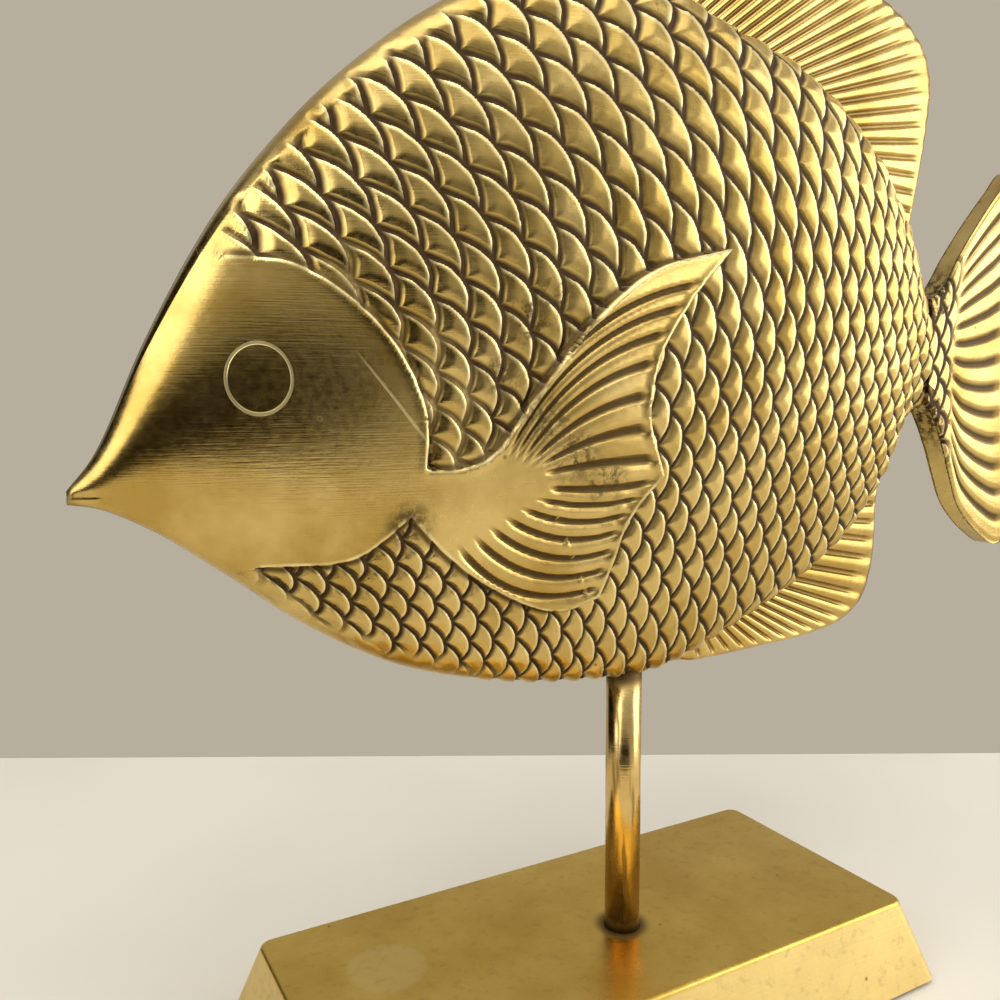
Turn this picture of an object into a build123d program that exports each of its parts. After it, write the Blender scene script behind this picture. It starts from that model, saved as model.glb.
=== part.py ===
from build123d import *
from math import atan, degrees
import os

os.makedirs("parts", exist_ok=True)

# A cast brass fish held up on a round stem over a bevelled base. All sizes are in millimetres.
# The origin is on the underside, midway along the base and right under the middle plane of the fish.
# X runs from the nose to the tail, Z is up, and the side of the fish that faces -Y is its left side.

# Base and felt
base_length = 182.0
base_width = 84.0
base_height = 22.0
base_flare = 7.0
base_corner = 4.0
base_edge = 1.2
base_wall = 4.0
base_plate = 5.0
base_side_offset = 5.5
felt_thickness = 1.5
felt_margin = 1.5

# Stem and what holds it
stem_diameter = 9.5
stem_rise = 70.5
stem_offset = 5.8
stem_entry = 14.0
socket_depth = 2.0
stud_diameter = 6.0
stud_spare = 3.0
stud_reach = 16.0
boss_diameter = 14.0
boss_length = 22.0
boss_pad = 4.0
washer_diameter = 18.0
washer_thickness = 1.6
nut_across_flats = 10.0
nut_height = 5.0
fit = 0.15

# Body of the fish
nose_reach = 132.5
body_length = 246.5
body_depth = 176.0
body_thickness = 41.0
shell_wall = 3.0
seam_land = 12.0
braze_gap = 0.1

# Relief on the flank
flank_rise = 3.2
ray_depth = 1.1
ray_width = 1.5
ray_margin = 2.6
eye_diameter = 15.0
eye_line = 1.1
eye_depth = 0.7
mouth_length = 6.5
mouth_gap = 0.8

# Fins
fin_thickness = 6.5
fin_rim = 1.3
fin_tongue = 6.0
fin_ray_depth = 1.0
fin_ray_width = 2.2
fin_ray_margin = 3.2
fin_ray_sink = 2.0
groove_swell_share = 0.35
dorsal_rays = 27
anal_rays = 19
tail_length = 48.5
tail_height = 127.0
tail_thickness = 9.2
tail_rim = 1.8
tail_rays = 15
tongue_length = 14.0
tongue_thickness = 5.0
tongue_side = 6.0

# Levels and places that follow from these sizes
overrun = 2 * body_thickness
base_top = felt_thickness + base_height
belly_level = base_top + stem_rise
nose_x = stem_offset - nose_reach
tail_x = nose_x + body_length
body_middle = Vector(nose_x + body_length / 2, belly_level + body_depth / 2)
half_thickness = body_thickness / 2
boss_level = belly_level + stem_entry
base_slope = degrees(atan(base_flare / base_height))


def at(along_share, up_share):
    """A point on the middle plane, in shares of the body's length and depth."""
    return (nose_x + along_share * body_length, belly_level + up_share * body_depth)


# Cross-sections of the body from nose to tail: how far along, the height of the back and of the
# belly, the half thickness, and how far the cheek and the pectoral fin stand up there.
section_shares = [
    (0.000, 0.315, 0.300, 0.06, 0.00),
    (0.019, 0.349, 0.295, 0.17, 0.00),
    (0.060, 0.474, 0.267, 0.35, 0.00),
    (0.112, 0.608, 0.215, 0.53, 0.03),
    (0.185, 0.739, 0.145, 0.71, 0.14),
    (0.265, 0.843, 0.085, 0.86, 0.30),
    (0.360, 0.935, 0.040, 0.96, 0.48),
    (0.468, 0.989, 0.011, 1.00, 0.92),
    (0.576, 0.995, 0.006, 0.98, 1.00),
    (0.684, 0.963, 0.057, 0.91, 1.00),
    (0.777, 0.929, 0.112, 0.80, 0.50),
    (0.846, 0.877, 0.168, 0.69, 0.20),
    (0.900, 0.822, 0.235, 0.57, 0.10),
    (0.938, 0.760, 0.300, 0.46, 0.10),
    (0.965, 0.705, 0.372, 0.37, 0.10),
    (0.985, 0.640, 0.397, 0.30, 0.10),
    (1.000, 0.596, 0.402, 0.26, 0.10),
]
hollow_shares = section_shares[3:13]

# The top of a cross-section from the middle plane outwards, in shares of the half thickness and the
# half height. One arc over the flank joins its last point to the same point at the belly.
rim_shares = [(0.00, 1.000), (0.16, 0.995), (0.33, 0.965), (0.47, 0.915)]

# The gill edge, the outline of the pectoral fin that grows out of it, and the edge under the cheek
gill_shares = [
    (0.123, 0.572), (0.166, 0.567), (0.212, 0.530), (0.241, 0.490), (0.262, 0.443), (0.275, 0.388),
    (0.275, 0.329),
]
fin_top_shares = [
    (0.275, 0.329), (0.300, 0.327), (0.328, 0.337), (0.373, 0.408), (0.437, 0.513), (0.494, 0.574),
    (0.595, 0.617),
]
upper_trail_shares = [(0.595, 0.617), (0.539, 0.539), (0.504, 0.464), (0.496, 0.395), (0.517, 0.312)]
lower_trail_shares = [(0.517, 0.312), (0.492, 0.278), (0.477, 0.246), (0.468, 0.203), (0.456, 0.152)]
fin_low_shares = [(0.456, 0.152), (0.422, 0.137), (0.347, 0.174), (0.293, 0.231), (0.264, 0.275)]
cheek_low_shares = [(0.264, 0.275), (0.222, 0.229), (0.143, 0.220)]

# Where the rays of the pectoral fin start, and how far each ray bows away from the straight
upper_root_shares = [(0.345, 0.352), (0.385, 0.322)]
lower_root_shares = [(0.392, 0.302), (0.306, 0.238)]
upper_bow_shares = [0.034, 0.002]
lower_bow_shares = [-0.004, -0.027]
upper_edge_shares = [0.200, 0.930]
lower_edge_shares = [0.060, 0.930]
upper_rays = 7
lower_rays = 7
eye_place_shares = (0.140, 0.437)
mouth_place_shares = (0.000, 0.3095)

# Free edges of the fins, each with both ends inside the body
dorsal_shares = [
    (0.422, 0.915), (0.434, 0.965), (0.463, 1.006), (0.518, 1.043), (0.595, 1.074), (0.692, 1.103),
    (0.788, 1.116), (0.857, 1.106), (0.913, 1.078), (0.958, 1.048), (0.988, 1.009), (0.999, 0.960),
    (0.996, 0.904), (0.989, 0.845), (0.979, 0.780), (0.970, 0.725), (0.955, 0.665),
]
dorsal_closing_shares = [(0.955, 0.665), (0.800, 0.700), (0.450, 0.850), (0.422, 0.915)]
anal_shares = [
    (0.588, 0.045), (0.597, 0.018), (0.622, 0.005), (0.660, 0.004), (0.730, 0.008), (0.822, 0.017),
    (0.873, 0.033), (0.904, 0.064), (0.921, 0.122), (0.925, 0.177), (0.925, 0.229), (0.929, 0.281),
    (0.927, 0.335),
]
anal_closing_shares = [(0.927, 0.335), (0.800, 0.300), (0.620, 0.120), (0.588, 0.045)]

# The tail's edge from the top of its root to the bottom, in shares of its length and height
tail_shares = [
    (0.000, 0.130), (0.070, 0.141), (0.157, 0.171), (0.278, 0.235), (0.478, 0.328), (0.705, 0.420),
    (0.870, 0.478), (0.975, 0.475), (0.985, 0.400), (0.930, 0.280), (0.885, 0.150), (0.868, -0.004),
    (0.885, -0.160), (0.930, -0.300), (0.985, -0.425), (0.965, -0.495), (0.850, -0.505), (0.627, -0.468),
    (0.509, -0.435), (0.382, -0.386), (0.294, -0.319), (0.225, -0.259), (0.147, -0.199), (0.059, -0.149),
    (0.000, -0.130),
]
tail_ray_root_shares = [(0.400, 0.225), (0.430, -0.275)]
tail_ray_edge_shares = (0.290, 0.700)

# The part of the back, belly and fin edges that the first and the last ray run between
dorsal_root_span_shares = (0.530, 0.932)
dorsal_edge_span_shares = (0.160, 0.940)
anal_root_span_shares = (0.600, 0.895)
anal_edge_span_shares = (0.230, 0.915)


end_back, end_belly = [at(section_shares[-1][0], share)[1] for share in section_shares[-1][1:3]]
tail_level = (end_back + end_belly) / 2
tongue_height = end_back - end_belly - 2 * tongue_side


def section_plane(along_share):
    """The plane square to the body at one station, with Y across and Z up."""
    x, z = at(along_share, 0)
    return Plane(origin=(x, 0, 0), x_dir=(0, 1, 0), z_dir=(1, 0, 0))


def with_halfway(shares):
    """The stations with one more between each two, on a smooth curve through them all."""
    padded = [shares[0]] + shares + [shares[-1]]
    finer = []
    for before, first, second, after in zip(padded, padded[1:], padded[2:], padded[3:]):
        values = zip(before, first, second, after)
        finer += [first, [(9 * (b + c) - a - d) / 16 for a, b, c, d in values]]
    return finer + [shares[-1]]


def flank_form(shares, rise=0.0, wall=0.0, land=0.0):
    """The left half of the body as a solid, raised by rise or set in by wall and land."""
    with BuildPart() as form:
        for along_share, back_share, belly_share, thick_share, rise_share in shares:
            back = at(along_share, back_share)[1] - land
            belly = at(along_share, belly_share)[1] + land
            reach = thick_share * half_thickness + rise * rise_share - wall
            middle = (back + belly) / 2
            half_height = (back - belly) / 2
            top = [(-reach * out, middle + half_height * up) for out, up in rim_shares]
            bottom = [(-reach * out, middle - half_height * up) for out, up in rim_shares]
            with BuildSketch(section_plane(along_share)):
                with BuildLine():
                    Polyline(*top)
                    ThreePointArc(top[-1], (-reach, middle), bottom[-1])
                    Polyline(*bottom)
                    Line(bottom[0], top[0])
                make_face()
        loft(ruled=True)
    return form.part


def arc_chain(points):
    """Arcs one after the other, each through three of the points."""
    for first, second, third in zip(points[:-2:2], points[1:-1:2], points[2::2]):
        ThreePointArc(first, second, third)


def engraving(sketch, floor_form):
    """A cutter with the outline of a flat sketch, from outside the flank down to floor_form."""
    with BuildPart() as cutter:
        extrude(sketch, amount=overrun)
        add(floor_form, mode=Mode.SUBTRACT)
    return cutter.part


def groove_sketch(plane, grooves, width):
    """Outlines of grooves that widen from a point to an end as wide as width, each with its own bow."""
    with BuildSketch(plane) as outlines:
        for point, end, bow in grooves:
            run = end - point
            side = Vector(-run.Y, run.X).normalized()
            middle = (point + end) / 2 + side * bow
            groove_swell = groove_swell_share * width
            with BuildLine():
                left = ThreePointArc(point, middle + side * groove_swell, end + side * width / 2)
                right = ThreePointArc(point, middle - side * groove_swell, end - side * width / 2)
                Line(left @ 1, right @ 1)
            make_face()
    return outlines.sketch


def between(first, last, share):
    return first + (last - first) * share


def points_at(shares):
    return [Vector(*at(*place)) for place in shares]


# Outline of the raised cheek and pectoral fin, drawn on the middle plane
with BuildSketch(Plane.XZ) as face_outline:
    with BuildLine():
        arc_chain(points_at(gill_shares))
        arc_chain(points_at(fin_top_shares))
        arc_chain(points_at(upper_trail_shares))
        arc_chain(points_at(lower_trail_shares))
        arc_chain(points_at(fin_low_shares))
        arc_chain(points_at(cheek_low_shares))
        Line(at(*cheek_low_shares[-1]), at(*gill_shares[0]))
    make_face()

# The grooves between the rays of the pectoral fin, fanned over its upper and lower lobes
with BuildLine() as upper_trail:
    Spline(*points_at(upper_trail_shares))
with BuildLine() as lower_trail:
    Spline(*points_at(lower_trail_shares))
lobes = [
    (upper_rays, upper_root_shares, upper_bow_shares, upper_trail.line, upper_edge_shares),
    (lower_rays, lower_root_shares, lower_bow_shares, lower_trail.line, lower_edge_shares),
]
pectoral_rays = []
for count, root_shares, bow_shares, trail, edge_shares in lobes:
    first_root, last_root = points_at(root_shares)
    for ray in range(count):
        share = ray / (count - 1)
        root = between(first_root, last_root, share)
        edge = trail @ between(*edge_shares, share)
        tip = edge + (root - edge).normalized() * ray_margin
        pectoral_rays.append((root, tip, between(*bow_shares, share) * body_length))
pectoral_grooves = groove_sketch(Plane.XZ, pectoral_rays, ray_width)

# The engraved eye, one ring line cut into the head
with BuildSketch(Plane.XZ) as eye_ring:
    with Locations(at(*eye_place_shares)):
        Circle((eye_diameter + eye_line) / 2)
        Circle((eye_diameter - eye_line) / 2, mode=Mode.SUBTRACT)

stations = with_halfway(section_shares)
plain_flank = flank_form(stations)
raised_flank = flank_form(stations, rise=flank_rise)
hollow = flank_form(hollow_shares, wall=shell_wall, land=seam_land)
ray_cutter = engraving(pectoral_grooves, flank_form(section_shares, rise=flank_rise, wall=ray_depth))
eye_cutter = engraving(eye_ring.sketch, flank_form(section_shares, wall=eye_depth))

with BuildPart() as raised_face:
    add(raised_flank)
    extrude(face_outline.sketch, amount=overrun, mode=Mode.INTERSECT)

# The back and the belly line on the middle plane
with BuildLine() as back_line:
    Spline(*[at(section[0], section[1]) for section in section_shares])
with BuildLine() as belly_line:
    Spline(*[at(section[0], section[2]) for section in section_shares])


def inner_outline(depth):
    """The outline of the body set in by depth towards its middle, which fin tongues reach."""
    edges = []
    for column in (1, 2):
        places = [Vector(*at(section[0], section[column])) for section in section_shares[3:16]]
        edges.append([place + (body_middle - place).normalized() * depth for place in places])
    with BuildSketch(Plane.XZ) as outline:
        with BuildLine():
            arc_chain(edges[0])
            arc_chain(edges[1])
            Line(edges[0][0], edges[1][0])
            Line(edges[0][-1], edges[1][-1])
        make_face()
    return outline.sketch


def fin_outline(shares, closing_shares):
    """The flat shape of a fin on the middle plane, from its free edge to deep inside the body."""
    with BuildSketch(Plane.XZ) as outline:
        with BuildLine():
            Spline(*points_at(shares))
            Polyline(*points_at(closing_shares))
        make_face()
    return outline.sketch


def ray_grooves(edge, edge_span, root, root_span, count):
    """Lines for the grooves of a fin, from near its free edge to just under the body's rim."""
    grooves = []
    for ray in range(count):
        share = ray / (count - 1)
        edge_point = edge @ between(*edge_span, share)
        root_point = root @ between(*root_span, share)
        inward = (root_point - edge_point).normalized()
        grooves.append((edge_point + inward * fin_ray_margin, root_point + inward * fin_ray_sink, 0))
    return grooves


def fin_plate(outline, grooves):
    """A cast fin with a bevelled free edge, rays on both faces and a tongue that enters the body."""
    with BuildPart() as plate:
        extrude(Pos(0, fin_thickness / 2, 0) * outline, amount=fin_thickness)
        chamfer(plate.edges().filter_by(GeomType.BSPLINE), fin_rim)
        extrude(inner_outline(fin_tongue), amount=fin_thickness, both=True, mode=Mode.SUBTRACT)
        for side in (1, -1):
            outlines = groove_sketch(Plane.XZ.offset(side * fin_thickness / 2), grooves, fin_ray_width)
            extrude(outlines, -side * fin_ray_depth, mode=Mode.SUBTRACT)
    return plate.part


def fin_slot(outline):
    """The pocket that the tongue of a fin is brazed into, in the left half of the body."""
    with BuildPart() as slot:
        extrude(outline, amount=fin_thickness / 2 + braze_gap)
        extrude(inner_outline(fin_tongue + braze_gap), amount=fin_thickness, mode=Mode.SUBTRACT)
    return slot.part


with BuildLine() as dorsal_edge:
    Spline(*points_at(dorsal_shares))
with BuildLine() as anal_edge:
    Spline(*points_at(anal_shares))

dorsal_outline = fin_outline(dorsal_shares, dorsal_closing_shares)
anal_outline = fin_outline(anal_shares, anal_closing_shares)
dorsal_grooves = ray_grooves(
    dorsal_edge.line, dorsal_edge_span_shares, back_line.line, dorsal_root_span_shares, dorsal_rays
)
anal_grooves = ray_grooves(
    anal_edge.line, anal_edge_span_shares, belly_line.line, anal_root_span_shares, anal_rays
)

with BuildPart() as dorsal_fin:
    add(fin_plate(dorsal_outline, dorsal_grooves))
dorsal_fin.part.label = "dorsal_fin"
export_step(dorsal_fin.part, "parts/dorsal_fin.step")

with BuildPart() as anal_fin:
    add(fin_plate(anal_outline, anal_grooves))
anal_fin.part.label = "anal_fin"
export_step(anal_fin.part, "parts/anal_fin.step")


# The tail: a thick plate that butts on the end of the body, with a tongue brazed inside it
def at_tail(along_share, up_share):
    return (tail_x + along_share * tail_length, tail_level + up_share * tail_height)


with BuildPart() as tail_fin:
    with BuildSketch(Plane.XZ.offset(-tail_thickness / 2)):
        with BuildLine():
            tail_edge = Spline(*[at_tail(*place) for place in tail_shares])
            Line(tail_edge @ 1, tail_edge @ 0)
        make_face()
    extrude(amount=tail_thickness)
    chamfer(tail_fin.edges().filter_by(GeomType.BSPLINE), tail_rim)
    tail_grooves = []
    for ray in range(tail_rays):
        share = ray / (tail_rays - 1)
        edge_point = tail_edge @ between(*tail_ray_edge_shares, share)
        first_root, last_root = [Vector(*at_tail(*place)) for place in tail_ray_root_shares]
        root_point = between(first_root, last_root, share)
        inward = (root_point - edge_point).normalized()
        tail_grooves.append((edge_point + inward * fin_ray_margin, root_point, 0))
    for side in (1, -1):
        outlines = groove_sketch(Plane.XZ.offset(side * tail_thickness / 2), tail_grooves, fin_ray_width)
        extrude(outlines, -side * fin_ray_depth, mode=Mode.SUBTRACT)
    with BuildSketch(Plane.YZ.offset(tail_x)):
        with Locations((0, tail_level)):
            Rectangle(tongue_thickness, tongue_height)
    extrude(amount=-tongue_length)
tail_fin.part.label = "tail_fin"
export_step(tail_fin.part, "parts/tail_fin.step")

# Inside of the body: hollow, but for a pad that the boss is brazed into
with BuildPart() as body_hollow:
    add(hollow)
    with BuildSketch(Plane.XY.offset(belly_level)):
        with Locations((stem_offset, 0)):
            Circle(boss_diameter / 2 + boss_pad)
    extrude(amount=stem_entry + boss_length + boss_pad, mode=Mode.SUBTRACT)

with BuildPart() as left_body_shell:
    add(plain_flank)
    add(raised_face.part)
    add(body_hollow.part, mode=Mode.SUBTRACT)
    add(ray_cutter, mode=Mode.SUBTRACT)
    add(eye_cutter, mode=Mode.SUBTRACT)
    add(fin_slot(dorsal_outline), mode=Mode.SUBTRACT)
    add(fin_slot(anal_outline), mode=Mode.SUBTRACT)
    # Mouth slit across the tip of the nose
    with BuildSketch(Plane.XZ):
        with Locations(at(*mouth_place_shares)):
            Rectangle(2 * mouth_length, mouth_gap)
    extrude(amount=overrun, mode=Mode.SUBTRACT)
    # Slot for the tongue of the tail
    with BuildSketch(Plane.YZ.offset(tail_x)):
        with Locations((0, tail_level)):
            Rectangle(tongue_thickness + 2 * braze_gap, tongue_height + 2 * braze_gap)
    extrude(amount=-tongue_length - braze_gap, mode=Mode.SUBTRACT)
    # Bore for the stem and pocket for the boss above it
    with BuildSketch(Plane.XY.offset(belly_level)):
        with Locations((stem_offset, 0)):
            Circle(stem_diameter / 2 + fit)
    extrude(amount=stem_entry, mode=Mode.SUBTRACT)
    with BuildSketch(Plane.XY.offset(boss_level)):
        with Locations((stem_offset, 0)):
            Circle(boss_diameter / 2 + braze_gap)
    extrude(amount=boss_length + braze_gap, mode=Mode.SUBTRACT)
left_body_shell.part.label = "left_body_shell"
export_step(left_body_shell.part, "parts/left_body_shell.step")

with BuildPart() as right_body_shell:
    mirror(left_body_shell.part, about=Plane.XZ)
right_body_shell.part.label = "right_body_shell"
export_step(right_body_shell.part, "parts/right_body_shell.step")

# Boss inside the belly, drilled from below for the upper stud of the stem
with BuildPart() as belly_boss:
    with BuildSketch(Plane.XY.offset(boss_level)):
        with Locations((stem_offset, 0)):
            Circle(boss_diameter / 2)
            Circle(stud_diameter / 2 + fit, mode=Mode.SUBTRACT)
    extrude(amount=boss_length)
belly_boss.part.label = "belly_boss"
export_step(belly_boss.part, "parts/belly_boss.step")

# Stem: a round bar turned down to a stud at each end
stem_foot = base_top - socket_depth
plate_underside = base_top - base_plate
stud_end = plate_underside - washer_thickness - nut_height - stud_spare
with BuildPart() as stem:
    with BuildSketch(Plane.XY.offset(stem_foot)):
        with Locations((stem_offset, 0)):
            Circle(stem_diameter / 2)
    extrude(amount=boss_level - stem_foot)
    with BuildSketch(Plane.XY.offset(stud_end)):
        with Locations((stem_offset, 0)):
            Circle(stud_diameter / 2)
    extrude(amount=boss_level + stud_reach - stud_end)
stem.part.label = "stem"
export_step(stem.part, "parts/stem.step")

# Base: a cast block with sloping sides, hollow underneath, with a socket for the stem
with BuildPart() as base:
    with BuildSketch(Plane.XY.offset(felt_thickness)):
        with Locations((0, base_side_offset)):
            Rectangle(base_length, base_width)
    extrude(amount=base_height, taper=base_slope)
    corners = base.edges().filter_by(Axis.Z, reverse=True).filter_by(Axis.X, reverse=True)
    fillet(corners.filter_by(Axis.Y, reverse=True), base_corner)
    fillet(base.edges().group_by(Axis.Z)[-1], base_edge)
    with BuildSketch(Plane.XY.offset(felt_thickness)):
        with Locations((0, base_side_offset)):
            Rectangle(base_length - 2 * base_wall, base_width - 2 * base_wall)
    extrude(amount=base_height - base_plate, taper=base_slope, mode=Mode.SUBTRACT)
    with BuildSketch(Plane.XY.offset(base_top)):
        with Locations((stem_offset, 0)):
            Circle(stem_diameter / 2 + fit)
    extrude(amount=-socket_depth, mode=Mode.SUBTRACT)
    with BuildSketch(Plane.XY.offset(base_top)):
        with Locations((stem_offset, 0)):
            Circle(stud_diameter / 2 + fit)
    extrude(amount=-base_height, mode=Mode.SUBTRACT)
base.part.label = "base"
export_step(base.part, "parts/base.step")

# Washer and nut that draw the stem down onto the base
with BuildPart() as base_washer:
    with BuildSketch(Plane.XY.offset(plate_underside)):
        with Locations((stem_offset, 0)):
            Circle(washer_diameter / 2)
            Circle(stud_diameter / 2 + fit, mode=Mode.SUBTRACT)
    extrude(amount=-washer_thickness)
base_washer.part.label = "base_washer"
export_step(base_washer.part, "parts/base_washer.step")

with BuildPart() as base_nut:
    with BuildSketch(Plane.XY.offset(plate_underside - washer_thickness)):
        with Locations((stem_offset, 0)):
            RegularPolygon(nut_across_flats / 2, 6, major_radius=False)
            Circle(stud_diameter / 2 + fit, mode=Mode.SUBTRACT)
    extrude(amount=-nut_height)
base_nut.part.label = "base_nut"
export_step(base_nut.part, "parts/base_nut.step")

# Felt glued under the base
with BuildPart() as felt_pad:
    with BuildSketch():
        with Locations((0, base_side_offset)):
            RectangleRounded(base_length - 2 * felt_margin, base_width - 2 * felt_margin, base_corner)
    extrude(amount=felt_thickness)
felt_pad.part.label = "felt_pad"
export_step(felt_pad.part, "parts/felt_pad.step")
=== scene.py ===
import bmesh
import bpy
import numpy as np
from math import cos, pi, radians, sin
from mathutils import Matrix, Vector


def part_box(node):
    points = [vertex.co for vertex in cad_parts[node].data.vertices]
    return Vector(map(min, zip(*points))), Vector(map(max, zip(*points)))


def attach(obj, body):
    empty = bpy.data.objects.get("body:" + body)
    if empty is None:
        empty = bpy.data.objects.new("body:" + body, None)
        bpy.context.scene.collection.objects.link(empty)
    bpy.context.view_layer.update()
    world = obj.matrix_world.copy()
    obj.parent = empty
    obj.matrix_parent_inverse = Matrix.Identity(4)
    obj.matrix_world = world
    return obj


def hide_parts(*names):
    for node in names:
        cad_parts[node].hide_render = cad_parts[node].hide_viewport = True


# A cast and chased brass fish on a round stem over a bevelled base. Lengths are in metres.
# X runs from the nose to the tail, Z is up, and the fish's left side faces -Y.

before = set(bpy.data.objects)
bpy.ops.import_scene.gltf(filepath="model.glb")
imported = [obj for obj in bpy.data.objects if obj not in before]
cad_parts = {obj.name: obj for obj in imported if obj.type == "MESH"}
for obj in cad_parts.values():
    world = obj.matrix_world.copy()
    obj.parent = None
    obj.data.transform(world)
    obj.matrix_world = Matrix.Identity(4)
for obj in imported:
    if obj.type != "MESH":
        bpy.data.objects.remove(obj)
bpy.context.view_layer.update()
mm = 0.001

# Places that come from the frame
nose_x, tail_x = [corner.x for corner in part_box("left_body_shell")]
body_length = tail_x - nose_x
base_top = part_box("base")[1].z
stem_low, stem_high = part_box("stem")
stem_x = (stem_low.x + stem_high.x) / 2

# Sizes of the fish and its stem
stem_rise = 70.5 * mm
stem_cover = 12 * mm
stud_radius = 3.0 * mm
socket_z = base_top - 2.0 * mm
stem_radius = (stem_high.x - stem_low.x) / 2
bar_facets = 96
belly_level = base_top + stem_rise
body_depth = 176 * mm
half_thickness = 20.5 * mm
flank_rise = 3.2 * mm
step_width = 0.8 * mm
groove_depth = 0.85 * mm
scale_tilt = 0.35 * mm
scale_softness = 0.25 * mm
ray_groove_depth = 0.9 * mm
ray_margin = 2.0 * mm
ray_side_margin = 4.0 * mm
lip_height = 0.5 * mm
lip_width = 2.2 * mm
seam_width = 3.0 * mm
eye_radius = 7.0 * mm
eye_narrowing = 0.88
eye_line = 0.55 * mm
crease_width = 0.35 * mm
mouth_length = 6.5 * mm
mouth_gap = 0.9 * mm
mouth_depth = 0.3 * mm
fin_thickness = 6.3 * mm
fin_rim = 2.6 * mm
fin_ray_depth = 0.7 * mm
fin_ray_crown = 0.175 * mm
tail_thickness = 9.0 * mm
tail_length = 48.3 * mm
tail_height = 126.6 * mm
tail_ray_depth = 0.8 * mm
tail_corner = 1.2 * mm
# Marks that a piece doesn't have are put this many millimetres away
far_away = 200.0
# Slopes are taken over nudges and held below steepest. Places less than tiny outside an outline count
# as on it, and points nearer than merge_distance are one
nudge = 0.05 * mm
steepest = 1.2
tiny = 0.01 * mm
merge_distance = 0.001 * mm

# Cross-sections from nose to tail, in shares of the body's length, depth and half thickness: how far
# along, the height of the back and of the belly, the half thickness, and the rise of cheek and fin
section_shares = np.array([
    (0.000, 0.315, 0.300, 0.06, 0.00), (0.019, 0.349, 0.295, 0.17, 0.00),
    (0.060, 0.474, 0.267, 0.35, 0.00), (0.112, 0.608, 0.215, 0.53, 0.03),
    (0.185, 0.743, 0.137, 0.71, 0.14), (0.265, 0.851, 0.074, 0.86, 0.30),
    (0.360, 0.942, 0.032, 0.96, 0.48), (0.468, 0.991, 0.008, 1.00, 0.92),
    (0.576, 0.995, 0.006, 0.98, 1.00), (0.684, 0.963, 0.057, 0.91, 1.00),
    (0.777, 0.929, 0.112, 0.80, 0.50), (0.846, 0.877, 0.168, 0.69, 0.20),
    (0.900, 0.822, 0.235, 0.57, 0.10), (0.938, 0.760, 0.300, 0.46, 0.10),
    (0.965, 0.705, 0.372, 0.37, 0.10), (0.985, 0.640, 0.397, 0.30, 0.10),
    (1.000, 0.596, 0.402, 0.26, 0.10),
])
# The rounded top of a cross-section, from the flank to the middle plane
rim_shares = np.array([(0.47, 0.915), (0.33, 0.965), (0.16, 0.995), (0.00, 1.000)])

gill_shares = [
    (0.123, 0.572), (0.166, 0.567), (0.212, 0.530), (0.241, 0.490), (0.262, 0.443), (0.275, 0.388),
    (0.275, 0.329),
]
fin_top_shares = [
    (0.275, 0.329), (0.300, 0.327), (0.328, 0.337), (0.373, 0.408), (0.437, 0.513), (0.494, 0.574),
    (0.595, 0.617),
]
upper_trail_shares = [(0.595, 0.617), (0.539, 0.539), (0.504, 0.464), (0.496, 0.395), (0.517, 0.312)]
lower_trail_shares = [(0.517, 0.312), (0.492, 0.278), (0.477, 0.246), (0.468, 0.203), (0.456, 0.152)]
fin_low_shares = [(0.456, 0.152), (0.422, 0.137), (0.347, 0.174), (0.293, 0.231), (0.264, 0.275)]
cheek_low_shares = [(0.264, 0.275), (0.222, 0.229), (0.143, 0.220)]
# The outline closes in front of the nose, where it cuts nothing
front_shares = [(-0.200, 0.100), (-0.200, 0.700)]
crease_shares = [(0.205, 0.490), (0.247, 0.414), (0.281, 0.352)]
crease_middle = (0.250, 0.409)
crease_reach = 0.064

# The rays of the pectoral fin: roots, bows and the part of the trailing edge that they reach
upper_root_shares = [(0.345, 0.352), (0.385, 0.322)]
lower_root_shares = [(0.392, 0.302), (0.306, 0.238)]
upper_bow_shares = (0.034, 0.002)
lower_bow_shares = (-0.004, -0.027)
upper_edge_shares = (0.200, 0.930)
lower_edge_shares = (0.060, 0.930)
ray_start_share = 0.298
# A ray's line reaches past both of its ends, and its root is the point at root_point
ray_span_share = (-0.15, 1.1)
ray_points = 20
root_point = 2
# Where the grooves set in from the root, and how wide they are, in counts of rays
ray_fade_share = (0.01, 0.16)
ray_groove_span = (0.08, 0.30)
upper_rays = 7
lower_rays = 7
eye_place_shares = (0.140, 0.437)
mouth_level_share = 0.3095

# Free edges of the fins
dorsal_shares = [
    (0.422, 0.915), (0.434, 0.965), (0.463, 1.006), (0.518, 1.043), (0.595, 1.074), (0.692, 1.103),
    (0.788, 1.115), (0.857, 1.106), (0.913, 1.078), (0.958, 1.048), (0.988, 1.009), (0.999, 0.960),
    (0.996, 0.904), (0.989, 0.845), (0.979, 0.780), (0.970, 0.725), (0.955, 0.665),
]
anal_shares = [
    (0.588, 0.045), (0.597, 0.018), (0.622, 0.005), (0.660, 0.004), (0.730, 0.008), (0.822, 0.017),
    (0.873, 0.033), (0.904, 0.064), (0.921, 0.122), (0.925, 0.177), (0.925, 0.229), (0.929, 0.281),
    (0.927, 0.335),
]
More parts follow.
